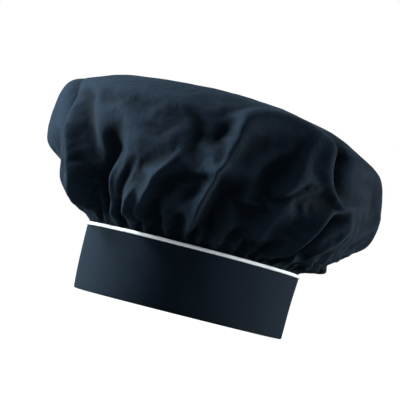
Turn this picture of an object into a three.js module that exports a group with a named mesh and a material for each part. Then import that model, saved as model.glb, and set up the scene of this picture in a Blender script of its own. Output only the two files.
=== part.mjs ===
import * as THREE from "three";

// Lengths are in millimetres. The rim of the band lies on z = 0 around the origin, the wearer
// faces -Y and the crown rises along +Z. Angles run counterclockwise from +X, seen from above.

// Band: a folded strip of stiffened cloth, sewn into an oval.
const BAND_WIDTH = 174;
const BAND_LENGTH = 204;
const BAND_HEIGHT = 55;
const BAND_FLARE = 2;
const BAND_WALL = 3;

// Piping: a covered cord in the seam between the band and the crown.
const PIPING_THICKNESS = 3;
const PIPING_SIDES = 8;

// Crown: soft cloth, gathered all round onto the band.
const CROWN_RADIUS = 141;
const CROWN_HEIGHT = 137;
const CLOTH = 1.5;
const GATHERS = 44;
const GATHER_DEPTH = 6;
const FOLD_DEPTH = 10;
const FOLD_WIDTH = 12;

// Clearance left in each seam.
const SEAM_GAP = 0.3;

const CLOTH_COLOUR = 0x151b23;
const PIPING_COLOUR = 0xe8ebee;

// The crown's outline on its front and rear sides, from the seam (at 0) to the middle of the
// top (at 1). Each pair is the reach and the rise. Rise is a share of CROWN_HEIGHT. Reach is a
// share of the way from the seam out to CROWN_RADIUS in the rows that start from the seam, and
// of CROWN_RADIUS in the others.
const OUTLINE = [
  { at: 0.0, fromSeam: true, front: [0.0, 0.0], rear: [0.0, 0.0] },
  { at: 0.06, fromSeam: true, front: [0.23, 0.065], rear: [0.25, 0.045] },
  { at: 0.13, fromSeam: true, front: [0.46, 0.145], rear: [0.46, 0.125] },
  { at: 0.21, fromSeam: true, front: [0.66, 0.235], rear: [0.72, 0.21] },
  { at: 0.29, fromSeam: true, front: [0.77, 0.34], rear: [0.9, 0.295] },
  { at: 0.37, fromSeam: true, front: [0.885, 0.45], rear: [0.945, 0.395] },
  { at: 0.45, fromSeam: true, front: [0.935, 0.58], rear: [0.955, 0.51] },
  { at: 0.53, fromSeam: false, front: [0.965, 0.72], rear: [0.965, 0.635] },
  { at: 0.61, fromSeam: false, front: [0.95, 0.845], rear: [0.92, 0.765] },
  { at: 0.69, fromSeam: false, front: [0.785, 0.93], rear: [0.765, 0.87] },
  { at: 0.78, fromSeam: false, front: [0.56, 0.972], rear: [0.53, 0.945] },
  { at: 0.88, fromSeam: false, front: [0.3, 0.99], rear: [0.28, 0.985] },
  { at: 1.0, fromSeam: false, front: [0.0, 1.0], rear: [0.0, 1.0] },
];
const FRONT_SIDE = 220;

// Folds that run up the crown. foot and head: where one starts and ends, as shares of the way
// from the seam to the top. turns: its angle at four even stations from foot to head. proud:
// share of FOLD_DEPTH, negative in a hollow. wide: share of FOLD_WIDTH.
const FOLDS = [
  { foot: 0.01, head: 0.56, turns: [257, 256, 251, 241], proud: 1.5, wide: 1.1 },
  { foot: 0.3, head: 0.63, turns: [223, 220, 218, 214], proud: 1.1, wide: 2.0 },
  { foot: 0.06, head: 0.54, turns: [263, 264, 260, 252], proud: -1.0, wide: 1.2 },
  { foot: 0.22, head: 0.62, turns: [248, 245, 239, 228], proud: -0.9, wide: 1.0 },
  { foot: 0.04, head: 0.34, turns: [241, 246, 249, 242], proud: 0.7, wide: 0.8 },
  { foot: 0.02, head: 0.3, turns: [224, 221, 225, 231], proud: 0.4, wide: 0.8 },
  { foot: 0.06, head: 0.28, turns: [232, 234, 238, 236], proud: -0.6, wide: 0.8 },
  { foot: 0.03, head: 0.36, turns: [263, 269, 273, 274], proud: -1.3, wide: 0.9 },
  { foot: 0.0, head: 0.2, turns: [267, 268, 272, 277], proud: 1.1, wide: 0.7},
  { foot: 0.0, head: 0.13, turns: [278, 280, 280, 276], proud: 0.9, wide: 0.7},
  { foot: 0.02, head: 0.31, turns: [280, 287, 292, 298], proud: 0.9, wide: 0.7},
  { foot: 0.03, head: 0.24, turns: [285, 289, 293, 297], proud: -0.8, wide: 0.7},
  { foot: 0.02, head: 0.27, turns: [287, 292, 298, 303], proud: 0.9, wide: 0.7},
  { foot: 0.03, head: 0.23, turns: [294, 298, 301, 305], proud: -0.7, wide: 0.7},
  { foot: 0.02, head: 0.42, turns: [304, 307, 309, 312], proud: 1.4, wide: 0.8 },
  { foot: 0.36, head: 0.62, turns: [309, 312, 314, 317], proud: 1.3, wide: 0.9 },
  { foot: 0.41, head: 0.6, turns: [304, 305, 307, 309], proud: -1.1, wide: 0.9 },
  { foot: 0.38, head: 0.64, turns: [362, 350, 348, 350], proud: 0.85, wide: 0.8 },
  { foot: 0.44, head: 0.68, turns: [358, 357, 359, 366], proud: -1.1, wide: 1.0 },
  { foot: 0.02, head: 0.42, turns: [343, 348, 350, 364], proud: 1.5, wide: 0.8 },
  { foot: 0.05, head: 0.39, turns: [350, 353, 355, 363], proud: -1.4, wide: 0.8 },
  { foot: 0.0, head: 0.27, turns: [320, 319, 320, 317], proud: 1.2, wide: 0.7},
  { foot: 0.05, head: 0.3, turns: [312, 313, 314, 317], proud: -1.3, wide: 1.0 },
  { foot: 0.06, head: 0.28, turns: [327, 326, 325, 322], proud: -0.9, wide: 0.9 },
  { foot: 0.05, head: 0.58, turns: [330, 332, 335, 341], proud: 0.9, wide: 1.6 },
  { foot: 0.2, head: 0.52, turns: [329, 329, 330, 333], proud: -0.9, wide: 1.0 },
  { foot: 0.05, head: 0.25, turns: [353, 373, 386, 399], proud: 0.8, wide: 0.7 },
  { foot: 0.09, head: 0.42, turns: [367, 366, 368, 363], proud: 0.5, wide: 0.9 },
  { foot: 0.24, head: 0.62, turns: [399, 395, 393, 390], proud: 0.7, wide: 1.2 },
  { foot: 0.03, head: 0.12, turns: [384, 392, 398, 403], proud: 0.9, wide: 0.8 },
];

// Folds that run round the crown. from and to: the angles at their ends. climb: how far up
// they lie at four even stations, as shares of the way from the seam to the top.
const LAPS = [
  { from: 312, to: 352, climb: [0.56, 0.62, 0.62, 0.55], proud: 0.8, wide: 1.4 },
  { from: 286, to: 311, climb: [0.31, 0.33, 0.36, 0.38], proud: 0.5, wide: 0.9 },
  { from: 289, to: 312, climb: [0.26, 0.28, 0.32, 0.35], proud: -0.9, wide: 0.7},
  { from: 299, to: 311, climb: [0.48, 0.49, 0.5, 0.53], proud: -0.6, wide: 1.0 },
  { from: 368, to: 402, climb: [0.04, 0.09, 0.15, 0.22], proud: -1.0, wide: 0.7},
];

// The side away from the view: evenly spaced folds that vary in height, lean and depth.
const FAR_SIDE = { from: 48, to: 202, folds: 9 };

const TURN = Math.PI * 2;
const { clamp, degToRad, lerp, smoothstep } = THREE.MathUtils;
const GATHER_COLUMNS = 3;
const COLUMNS = GATHERS * GATHER_COLUMNS;
const MERIDIAN = CROWN_RADIUS + CROWN_HEIGHT;
const PIPING_Z = BAND_HEIGHT + SEAM_GAP + PIPING_THICKNESS / 2;
const COLLAR_FOOT = BAND_HEIGHT + SEAM_GAP;
const COLLAR_HEAD = COLLAR_FOOT + PIPING_THICKNESS + SEAM_GAP;

// A repeatable number from 0 to 1 for item i of series k.
function scatter(i, k) {
  const v = Math.sin(i * 12.9898 + k * 78.233) * 43758.5453;
  return v - Math.floor(v);
}

// The band's outer radius at a share of its height.
function bandRadius(angle, height) {
  const a = BAND_WIDTH / 2 + BAND_FLARE * height;
  const b = BAND_LENGTH / 2 + BAND_FLARE * height;
  return (a * b) / Math.hypot(b * Math.cos(angle), a * Math.sin(angle));
}

// The crown's short upright collar stands on the inner part of the band's top edge.
function collarRadius(angle) {
  return bandRadius(angle, 1) - BAND_WALL + CLOTH;
}

// The piping lies on the rest of that edge, round the collar.
function pipingRadius(angle) {
  return collarRadius(angle) + SEAM_GAP + PIPING_THICKNESS / 2;
}

// A smooth curve through a column of the outline table.
function along(values, at) {
  const xs = OUTLINE.map((row) => row.at);
  const last = xs.length - 1;
  const slope = (i) => (values[i + 1] - values[i]) / (xs[i + 1] - xs[i]);
  const tangent = (i) => {
    if (i === 0) return slope(0);
    if (i === last) return slope(last - 1);
    const before = xs[i] - xs[i - 1];
    const after = xs[i + 1] - xs[i];
    return (slope(i - 1) * after + slope(i) * before) / (before + after);
  };
  const x = clamp(at, 0, 1);
  let i = 0;
  while (i < last - 1 && x >= xs[i + 1]) i += 1;
  const h = xs[i + 1] - xs[i];
  const t = (x - xs[i]) / h;
  const t2 = t * t;
  const t3 = t2 * t;
  return (
    (2 * t3 - 3 * t2 + 1) * values[i] +
    (t3 - 2 * t2 + t) * h * tangent(i) +
    (3 * t2 - 2 * t3) * values[i + 1] +
    (t3 - t2) * h * tangent(i + 1)
  );
}

// Radius and height of the unfolded crown.
function outline(angle, at) {
  const rearward = 0.5 - 0.5 * Math.cos(angle - degToRad(FRONT_SIDE));
  const side = (name) => {
    const seam = OUTLINE.map((row) => (row.fromSeam ? 1 - row[name][0] : 0));
    const reach = OUTLINE.map((row) => row[name][0]);
    const rise = OUTLINE.map((row) => row[name][1]);
    return [
      along(seam, at) * collarRadius(angle) + along(reach, at) * CROWN_RADIUS,
      COLLAR_HEAD + along(rise, at) * CROWN_HEIGHT,
    ];
  };
  const front = side("front");
  const rear = side("rear");
  return [
    lerp(front[0], rear[0], rearward),
    lerp(front[1], rear[1], rearward),
  ];
}

// The direction that faces out of the unfolded crown, in its upright plane.
function outward(angle, at) {
  const step = 0.004;
  const [r0, z0] = outline(angle, Math.max(at - step, 0));
  const [r1, z1] = outline(angle, Math.min(at + step, 1));
  const length = Math.hypot(r1 - r0, z1 - z0);
  return [(z1 - z0) / length, (r0 - r1) / length];
}

// A cubic through four values at even stations, and how fast it changes.
function through([a, b, c, d], t) {
  const u = 3 * t;
  return (
    (a * (1 - u) * (2 - u) * (3 - u)) / 6 +
    (b * u * (2 - u) * (3 - u)) / 2 +
    (c * u * (u - 1) * (3 - u)) / 2 +
    (d * u * (u - 1) * (u - 2)) / 6
  );
}

function change(values, t) {
  const step = 1e-3;
  return (through(values, t + step) - through(values, t - step)) / (2 * step);
}

// How far a fold lifts the cloth at a distance from its line: sharp crests, round hollows.
function lift(distance, { proud, wide }) {
  const x = distance / (wide * FOLD_WIDTH);
  const soft = 0.4;
  const shape = proud > 0 ? Math.exp(-1.3 * (Math.hypot(x, soft) - soft)) : Math.exp(-x * x);
  return proud * FOLD_DEPTH * shape;
}

function upright(fold, angle, at, radius) {
  const { foot, head, turns } = fold;
  const t = (at - foot) / (head - foot);
  if (t < -0.2 || t > 1.2) return 0;
  const on = clamp(t, 0, 1);
  const slant = (radius * degToRad(change(turns, on))) / ((head - foot) * MERIDIAN);
  const off = angle - degToRad(through(turns, on));
  const across = off - TURN * Math.round(off / TURN);
  const fade = smoothstep(t, -0.1, 0.25) * (1 - smoothstep(t, 0.7, 1.1));
  return fade * lift((across * radius) / Math.hypot(1, slant), fold);
}

function sideways(fold, angle, at, radius) {
  const { from, to, climb } = fold;
  const span = degToRad(to - from);
  const middle = degToRad((from + to) / 2);
  const off = angle - middle;
  const t = 0.5 + (off - TURN * Math.round(off / TURN)) / span;
  if (t < -0.2 || t > 1.2) return 0;
  const on = clamp(t, 0, 1);
  const slant = (change(climb, on) * MERIDIAN) / (radius * span);
  const across = (at - through(climb, on)) * MERIDIAN;
  const fade = smoothstep(t, -0.1, 0.3) * (1 - smoothstep(t, 0.7, 1.1));
  return fade * lift(across / Math.hypot(1, slant), fold);
}

function farFolds() {
  const rows = [];
  const pitch = (FAR_SIDE.to - FAR_SIDE.from) / FAR_SIDE.folds;
  for (let i = 0; i < FAR_SIDE.folds; i += 1) {
    const start = FAR_SIDE.from + (i + 0.25 + 0.5 * scatter(i, 5)) * pitch;
    const head = 0.42 + 0.24 * scatter(i, 6);
    const lean = pitch * (scatter(i, 7) - 0.5);
    const turns = [0, 0.3, 0.7, 1].map((share) => start + lean * share);
    const depth = 0.9 + 0.5 * scatter(i, 11);
    const width = 0.9 + 0.6 * scatter(i, 9);
    rows.push({ foot: 0.01, head, turns, proud: depth, wide: width });
    const between = turns.map((turn) => turn + pitch / 2);
    rows.push({ foot: 0.04, head: head * 0.95, turns: between, proud: -depth, wide: width });
  }
  return rows;
}

const UPRIGHTS = [...FOLDS, ...farFolds()];

// The angle of a column: the first one of each gather is on its crest.
function crestAngle(i) {
  const k = ((i % GATHERS) + GATHERS) % GATHERS;
  return ((i + 0.5 * (scatter(k, 1) - 0.5)) / GATHERS) * TURN;
}

function columnAngle(column) {
  const gather = Math.floor(column / GATHER_COLUMNS);
  return lerp(crestAngle(gather), crestAngle(gather + 1), (column % GATHER_COLUMNS) / GATHER_COLUMNS);
}

// The gathers pull the cloth in between their crests, and die out up the crown.
function tuck(column, at) {
  const gather = Math.floor(column / GATHER_COLUMNS);
  const depth = GATHER_DEPTH * (0.6 + 0.9 * scatter(gather, 2));
  const reach = 0.16 + 0.3 * scatter(gather, 3);
  const grow = 0.25 + 0.75 * smoothstep(at, 0, 0.09);
  const fade = 1 - smoothstep(at, 0.35 * reach, reach);
  const between = (Math.PI * (column % GATHER_COLUMNS)) / GATHER_COLUMNS;
  return depth * grow * fade * Math.sin(between) ** 1.3;
}

// A point on the crown's outside, moved inward by a wall.
function crownPoint(column, at, wall) {
  const angle = columnAngle(column);
  const [r, z] = outline(angle, at);
  const [outR, outZ] = outward(angle, at);
  const radius = Math.max(r, 0.3 * CROWN_RADIUS);
  let folds = 0;
  for (const fold of UPRIGHTS) folds += upright(fold, angle, at, radius);
  for (const fold of LAPS) folds += sideways(fold, angle, at, radius);
  const room = 1.5 * FOLD_DEPTH * smoothstep(at, 0.03, 0.18);
  const shift = Math.min(folds * smoothstep(at, -0.02, 0.06) - tuck(column, at), room) - wall;
  return new THREE.Vector3(
    (r + outR * shift) * Math.cos(angle),
    (r + outR * shift) * Math.sin(angle),
    z + outZ * shift,
  );
}

// Rings of points joined into triangles. A ring may have half the points of the one before.
class Skin {
  constructor() {
    this.points = [];
    this.triangles = [];
  }

  ring(points) {
    const first = this.points.length;
    this.points.push(...points);
    return points.map((_, i) => first + i);
  }

  // middle, if given, is where the middle of a facing pair of triangles should lie: they are
  // split along the diagonal that passes closer to it.
  join(low, high, middle) {
    const n = high.length;
    const step = low.length / n;
    for (let i = 0; i < n; i += 1) {
      const j = (i + 1) % n;
      if (step === 1) {
        const target = middle && middle(i);
        const miss = (a, b) =>
          this.points[a].clone().add(this.points[b]).divideScalar(2).distanceTo(target);
        if (target && miss(low[j], high[i]) < miss(low[i], high[j])) {
          this.triangles.push([low[i], low[j], high[i]], [low[j], high[j], high[i]]);
        } else {
          this.triangles.push([low[i], low[j], high[j]], [low[i], high[j], high[i]]);
        }
      } else {
        const [a, b, c] = [low[2 * i], low[2 * i + 1], low[(2 * i + 2) % low.length]];
        this.triangles.push([a, b, high[i]], [b, high[j], high[i]], [b, c, high[j]]);
      }
    }
  }

  close(ring, point) {
    const [tip] = this.ring([point]);
    ring.forEach((v, i) => this.triangles.push([v, ring[(i + 1) % ring.length], tip]));
  }

  flip() {
    this.triangles = this.triangles.map(([a, b, c]) => [a, c, b]);
  }

  add(other) {
    const first = this.points.length;
    this.points.push(...other.points);
    for (const t of other.triangles) this.triangles.push(t.map((v) => v + first));
    return first;
  }

  geometry() {
    const made = new THREE.BufferGeometry().setFromPoints(this.points);
    made.setIndex(this.triangles.flat());
    made.computeVertexNormals();
    return made;
  }
}

function mesh(name, skin, colour) {
  const material = new THREE.MeshStandardMaterial({ color: colour, roughness: 0.9 });
  const made = new THREE.Mesh(skin.geometry(), material);
  made.name = name;
  return made;
}

function ringAt(count, place) {
  return Array.from({ length: count }, (_, i) => place((i * COLUMNS) / count));
}

function polar(angle, radius, z) {
  return new THREE.Vector3(radius * Math.cos(angle), radius * Math.sin(angle), z);
}

// Rows of the crown's mesh: finely spaced where it is folded, thinned out towards the top.
const ROWS = [
  ...Array.from({ length: 15 }, (_, i) => [0.04 * i, COLUMNS]),
  ...[0.61, 0.66, 0.72].map((at) => [at, COLUMNS / 2]),
  ...[0.79, 0.86, 0.93].map((at) => [at, COLUMNS / 4]),
];

function crownSkin(wall) {
  const skin = new Skin();
  const foot = skin.ring(
    ringAt(COLUMNS, (c) => polar(columnAngle(c), collarRadius(columnAngle(c)) - wall, COLLAR_FOOT)),
  );
  let below = foot;
  let last = null;
  for (const [at, count] of ROWS) {
    const ring = skin.ring(ringAt(count, (c) => crownPoint(c, at, wall)));
    const from = last;
    const middle = (i) => crownPoint(((i + 0.5) * COLUMNS) / count, (from + at) / 2, wall);
    skin.join(below, ring, from === null ? undefined : middle);
    below = ring;
    last = at;
  }
  const top = COLLAR_HEAD + CROWN_HEIGHT - wall;
  skin.close(below, new THREE.Vector3(0, 0, top));
  return { skin, foot };
}

function crown() {
  const outside = crownSkin(0);
  const inside = crownSkin(CLOTH);
  inside.skin.flip();
  const first = outside.skin.add(inside.skin);
  const innerFoot = inside.foot.map((v) => v + first);
  outside.skin.join(innerFoot, outside.foot);
  return mesh("crown", outside.skin, CLOTH_COLOUR);
}

// A closed hoop swept round through a profile of places that turn counterclockwise.
function hoop(name, count, profile, colour) {
  const skin = new Skin();
  const rings = profile.map((place) => skin.ring(ringAt(count, place)));
  rings.forEach((ring, i) => skin.join(ring, rings[(i + 1) % rings.length]));
  return mesh(name, skin, colour);
}

function band() {
  const corner = (height, wall) => (column) => {
    const angle = columnAngle(column);
    return polar(angle, bandRadius(angle, height) - wall, BAND_HEIGHT * height);
  };
  const profile = [
    corner(0, 0),
    corner(1, 0),
    corner(1, BAND_WALL),
    corner(0, BAND_WALL),
  ];
  return hoop("band", COLUMNS / 2, profile, CLOTH_COLOUR);
}

function piping() {
  const profile = Array.from({ length: PIPING_SIDES }, (_, k) => (column) => {
    const angle = columnAngle(column);
    const turn = ((k + 0.5) / PIPING_SIDES) * TURN;
    const out = (PIPING_THICKNESS / 2) * Math.cos(turn);
    const up = (PIPING_THICKNESS / 2) * Math.sin(turn);
    return polar(angle, pipingRadius(angle) + out, PIPING_Z + up);
  });
  return hoop("piping", COLUMNS / 2, profile, PIPING_COLOUR);
}

const hat = new THREE.Group();
hat.name = "chef_hat";
hat.add(band(), piping(), crown());

export default hat;
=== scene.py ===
"""A gathered chef's hat: a soft crown sewn onto a folded band, with piping in the seam."""

import math

import bpy
import numpy as np
from bpy.props import FloatProperty, FloatVectorProperty, IntProperty, PointerProperty
from mathutils import Matrix, Vector


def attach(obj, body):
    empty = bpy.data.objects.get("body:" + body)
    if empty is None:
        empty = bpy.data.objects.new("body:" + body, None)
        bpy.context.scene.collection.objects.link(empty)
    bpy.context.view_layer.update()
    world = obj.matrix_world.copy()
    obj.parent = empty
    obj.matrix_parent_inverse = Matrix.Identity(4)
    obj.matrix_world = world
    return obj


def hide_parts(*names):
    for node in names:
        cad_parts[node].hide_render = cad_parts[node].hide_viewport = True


bl_info = {
    "name": "Gathered chef's hat",
    "version": (1, 0, 0),
    "blender": (4, 5, 0),
    "location": "3D View > Sidebar > Chef's hat",
    "description": "Sews a soft chef's hat from a band, piping and a gathered crown",
    "category": "Add Mesh",
}

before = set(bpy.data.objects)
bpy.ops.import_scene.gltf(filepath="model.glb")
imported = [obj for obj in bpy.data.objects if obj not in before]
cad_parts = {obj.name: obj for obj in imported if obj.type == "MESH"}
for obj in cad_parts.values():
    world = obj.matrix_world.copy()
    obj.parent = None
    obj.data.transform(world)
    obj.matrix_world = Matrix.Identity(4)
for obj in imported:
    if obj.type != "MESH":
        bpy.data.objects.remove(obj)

TURN = 2 * math.pi

# The crown's outline on its front and rear sides, from the seam (at 0) to the middle of the
# top (at 1). Columns: at, then reach and rise in front, then reach and rise at the rear. Rise
# is a share of the crown's height. Reach is a share of the way from the seam out to the
# crown's radius in the first seven rows, and of that radius in the others.
OUTLINE = np.array(
    [
        [0.00, 0.000, 0.000, 0.000, 0.000],
        [0.06, 0.230, 0.065, 0.250, 0.045],
        [0.13, 0.460, 0.145, 0.460, 0.125],
        [0.21, 0.660, 0.235, 0.720, 0.210],
        [0.29, 0.770, 0.340, 0.900, 0.295],
        [0.37, 0.885, 0.450, 0.945, 0.395],
        [0.45, 0.935, 0.580, 0.955, 0.510],
        [0.53, 0.965, 0.720, 0.965, 0.635],
        [0.61, 0.950, 0.845, 0.920, 0.765],
        [0.69, 0.785, 0.930, 0.765, 0.870],
        [0.78, 0.560, 0.972, 0.530, 0.945],
        [0.88, 0.300, 0.990, 0.280, 0.985],
        [1.00, 0.000, 1.000, 0.000, 1.000],
    ]
)
ROWS_FROM_SEAM = 7
FRONT_SIDE = math.radians(220)

# Folds that run up the crown. Columns: foot and head, as shares of the way from the seam to
# the top; angles in degrees at four even stations between them; share of the fold depth,
# negative in a hollow; share of the fold width.
FOLDS = [
    (0.01, 0.56, (257, 256, 251, 241), 1.5, 1.1),
    (0.3, 0.63, (223, 220, 218, 214), 1.1, 2.0),
    (0.06, 0.54, (262, 262, 258, 251), -0.8, 1.0),
    (0.22, 0.62, (248, 245, 239, 228), -0.9, 1.0),
    (0.04, 0.34, (241, 246, 249, 242), 0.7, 0.8),
    (0.02, 0.3, (224, 221, 225, 231), 0.4, 0.8),
    (0.06, 0.28, (232, 234, 238, 236), -0.6, 0.8),
    (0.02, 0.22, (249, 251, 253, 254), 0.4, 0.6),
    (0.03, 0.48, (264, 267, 269, 270), -1.3, 1.0),
    (0.0, 0.34, (267, 268, 270, 272), 1.1, 0.5),
    (0.03, 0.34, (272, 274, 277, 281), -0.4, 0.35),
    (0.0, 0.24, (276, 278, 280, 283), 0.8, 0.4),
    (0.02, 0.42, (280, 286, 291, 297), 1.0, 0.6),
    (0.03, 0.36, (284, 289, 294, 300), -0.9, 0.6),
    (0.02, 0.27, (287, 292, 298, 303), 0.9, 0.6),
    (0.02, 0.28, (293, 296, 301, 306), 0.5, 0.4),
    (0.03, 0.3, (290, 294, 300, 305), -0.6, 0.4),
    (0.02, 0.42, (304, 307, 309, 312), 1.7, 0.7),
    (0.4, 0.55, (310, 311, 312, 314), -0.7, 0.3),
    (0.36, 0.62, (309, 312, 314, 317), 1.3, 0.9),
    (0.47, 0.58, (308, 309, 311, 312), -0.5, 0.4),
    (0.38, 0.64, (362, 350, 348, 350), 0.85, 0.8),
    (0.44, 0.68, (358, 357, 359, 366), -1.1, 1.0),
    (0.02, 0.42, (343, 348, 350, 364), 1.5, 0.8),
    (0.34, 0.44, (334, 337, 340, 343), -0.3, 0.25),
    (0.05, 0.39, (350, 353, 355, 363), -1.4, 0.8),
    (0.0, 0.27, (320, 319, 320, 317), 1.2, 0.7),
    (0.04, 0.38, (311, 313, 315, 318), -1.6, 1.1),
    (0.06, 0.28, (327, 326, 325, 322), -0.9, 0.9),
    (0.05, 0.58, (330, 332, 335, 341), 0.9, 1.6),
    (0.2, 0.52, (329, 329, 330, 333), -0.9, 1.0),
    (0.05, 0.25, (353, 373, 386, 399), 0.8, 0.7),
    (0.09, 0.42, (367, 366, 368, 363), 0.5, 0.9),
    (0.24, 0.62, (399, 395, 393, 390), 0.7, 1.2),
    (0.03, 0.12, (384, 392, 398, 403), 0.9, 0.8),
]

# Folds that run round the crown. Columns: angles of the ends, in degrees; how far up at four even
# stations; share of the fold depth; share of the fold width.
LAPS = [
    (312, 352, (0.56, 0.62, 0.62, 0.55), 0.8, 1.4),
    (286, 311, (0.31, 0.33, 0.36, 0.38), 0.3, 1.1),
    (291, 311, (0.27, 0.31, 0.33, 0.33), -0.2, 0.7),
    (299, 311, (0.48, 0.49, 0.5, 0.53), -0.2, 0.8),
    (368, 402, (0.04, 0.09, 0.15, 0.22), -1.0, 0.7),
]

# The side that the picture doesn't show, from one angle to another in degrees. Its folds are
# evenly spaced and vary in height and lean.
FAR_SIDE = (48, 202)
FAR_FOLDS = 9

# The side where the longer gathers are rows of FOLDS: its middle and half width, in degrees.
FOLDED_SIDE = (283, 62)

# The crown's rings of points, from the seam to the top. Each share of the way up halves them.
CROWN_RINGS = 58
POINTS_AT_SEAM = 320
HALVED_AT = (0.42, 0.68, 0.84, 0.93)

# Radius of the round of cloth that the crown is cut from, with its seam allowance.
CUT_RADIUS = 0.285

# Smoothing passes that tell small creases and wide folds from the cloth around them, and how
# much each of the two lightens the cloth for a metre that it stands out, as wear and painted
# highlight, and darkens it for a metre that it sinks in, as painted shade.
CREASE_PASSES = 5
FOLD_PASSES = 60
CREASE_WEAR_AND_SHADE = 260
FOLD_WEAR_AND_SHADE = 45

# Angle of the join in the band.
JOIN = math.pi / 2

# What the lights point at, and the lights: name; place to the right of it, nearer than it and
# above it, as the camera sees them; size; watts; colour.
AIM = Vector((0, 0, 0.12))
LIGHTS = (
    ("Key softbox", (-1.25, 0.10, 0.80), 0.4, 64, (0.86, 0.94, 1.0)),
    ("Right softbox", (1.2, -0.15, 0.12), 0.4, 25, (0.90, 0.98, 1.0)),
    ("Left strip", (-1.2, -0.15, 0.05), 0.3, 28, (0.86, 0.98, 1.0)),
    ("Front fill", (0.1, 1.4, 0.25), 0.5, 5, (0.95, 0.98, 1.0)),
)


def smooth(x, low, high):
    t = np.clip((x - low) / (high - low), 0, 1)
    return t * t * (3 - 2 * t)


def scatter(i, k):
    """A repeatable number from 0 to 1 for item i of series k."""
    v = np.sin(i * 12.9898 + k * 78.233) * 43758.5453
    return v - np.floor(v)


def through(values, t):
    """A cubic through four values at even stations."""
    a, b, c, d = values
    u = 3 * t
    return (
        a * (1 - u) * (2 - u) * (3 - u) / 6
        + b * u * (2 - u) * (3 - u) / 2
        + c * u * (u - 1) * (3 - u) / 2
        + d * u * (u - 1) * (u - 2) / 6
    )


def change(values, t):
    return (through(values, t + 1e-3) - through(values, t - 1e-3)) / 2e-3


def along(values, at):
    """A smooth curve through a column of the outline table."""
    xs = OUTLINE[:, 0]
    ys = np.asarray(values, float)
    h = np.diff(xs)
    d = np.diff(ys) / h
    m = np.empty_like(ys)
    m[1:-1] = (d[:-1] * h[1:] + d[1:] * h[:-1]) / (xs[2:] - xs[:-2])
    m[0], m[-1] = d[0], d[-1]
    x = np.clip(at, 0, 1)
    i = np.clip(np.searchsorted(xs, x, side="right") - 1, 0, len(xs) - 2)
    t = (x - xs[i]) / h[i]
    return (
        (2 * t**3 - 3 * t**2 + 1) * ys[i]
        + (t**3 - 2 * t**2 + t) * h[i] * m[i]
        + (3 * t**2 - 2 * t**3) * ys[i + 1]
        + (t**3 - t**2) * h[i] * m[i + 1]
    )


def band_radius(sizes, angle, height):
    """Outer radius of the oval band at a share of its height."""
    a = sizes.band_width / 2 + sizes.band_flare * height
    b = sizes.band_length / 2 + sizes.band_flare * height
    return a * b / np.hypot(b * np.cos(angle), a * np.sin(angle))


def collar_radius(sizes, angle):
    """The crown's short upright collar stands on the inner part of the band's top edge."""
    return band_radius(sizes, angle, 1) - sizes.band_wall + sizes.cloth


def collar_head(sizes):
    return sizes.band_height + sizes.piping + 2 * sizes.seam_gap


def piping_radius(sizes, angle):
    return collar_radius(sizes, angle) + sizes.seam_gap + sizes.piping / 2


def meridian_length(sizes):
    return sizes.crown_radius + sizes.crown_height


def outline(sizes, angle, at):
    """Radius and height of the crown before it is folded."""
    rearward = 0.5 - 0.5 * np.cos(angle - FRONT_SIDE)
    inner = np.arange(len(OUTLINE)) < ROWS_FROM_SEAM
    sides = []
    for column in (1, 3):
        reach, rise = OUTLINE[:, column], OUTLINE[:, column + 1]
        seam = along(np.where(inner, 1 - reach, 0), at)
        radius = seam * collar_radius(sizes, angle) + along(reach, at) * sizes.crown_radius
        height = collar_head(sizes) + along(rise, at) * sizes.crown_height
        sides.append((radius, height))
    (r0, z0), (r1, z1) = sides
    return r0 + (r1 - r0) * rearward, z0 + (z1 - z0) * rearward


def outward(sizes, angle, at):
    """The direction that faces out of the unfolded crown, in its upright plane."""
    step = 0.004
    r0, z0 = outline(sizes, angle, np.maximum(at - step, 0))
    r1, z1 = outline(sizes, angle, np.minimum(at + step, 1))
    length = np.hypot(r1 - r0, z1 - z0)
    return (z1 - z0) / length, (r0 - r1) / length


def wrap(angle):
    return angle - TURN * np.round(angle / TURN)


def lift(sizes, distance, proud, wide):
    """How far a fold lifts the cloth at a distance from its line: sharp crests, round hollows."""
    x = distance / (wide * sizes.fold_width)
    rounding, steepness = 0.22, 1.3
    crest = np.exp(-steepness * (np.hypot(x, rounding) - rounding))
    return proud * sizes.fold_depth * (crest if proud > 0 else np.exp(-x * x))


def far_folds():
    rows = []
    low, high = FAR_SIDE
    pitch = (high - low) / FAR_FOLDS
    for i in range(FAR_FOLDS):
        start = low + (i + 0.25 + 0.5 * scatter(i, 5)) * pitch
        head = 0.42 + 0.24 * scatter(i, 6)
        lean = pitch * (scatter(i, 7) - 0.5)
        turns = [start + lean * share for share in (0, 0.3, 0.7, 1)]
        depth = 0.6 + 0.4 * scatter(i, 11)
        width = 1.3 + 0.6 * scatter(i, 9)
        between = [turn + pitch / 2 for turn in turns]
        rows.append((0.01, head, turns, depth, width))
        rows.append((0.04, head * 0.95, between, -depth, width))
    return rows


def upright(sizes, fold, angle, at, radius):
    foot, head, turns, proud, wide = fold
    turns = np.radians(turns)
    t = (at - foot) / (head - foot)
    on = np.clip(t, 0, 1)
    slant = radius * change(turns, on) / ((head - foot) * meridian_length(sizes))
    across = wrap(angle - through(turns, on)) * radius / np.hypot(1, slant)
    fade = smooth(t, -0.1, 0.25) * (1 - smooth(t, 0.7, 1.1))
    return fade * lift(sizes, across, proud, wide)


def sideways(sizes, fold, angle, at, radius):
    start, end, climb, proud, wide = fold
    span = math.radians(end - start)
    t = 0.5 + wrap(angle - math.radians((start + end) / 2)) / span
    on = np.clip(t, 0, 1)
    slant = change(climb, on) * meridian_length(sizes) / (radius * span)
    across = (at - through(climb, on)) * meridian_length(sizes) / np.hypot(1, slant)
    fade = smooth(t, -0.1, 0.3) * (1 - smooth(t, 0.7, 1.1))
    return fade * lift(sizes, across, proud, wide)


def crest_angle(sizes, i):
    k = np.mod(i, sizes.gathers)
    return (i + 0.5 * (scatter(k, 1) - 0.5)) / sizes.gathers * TURN


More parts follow.
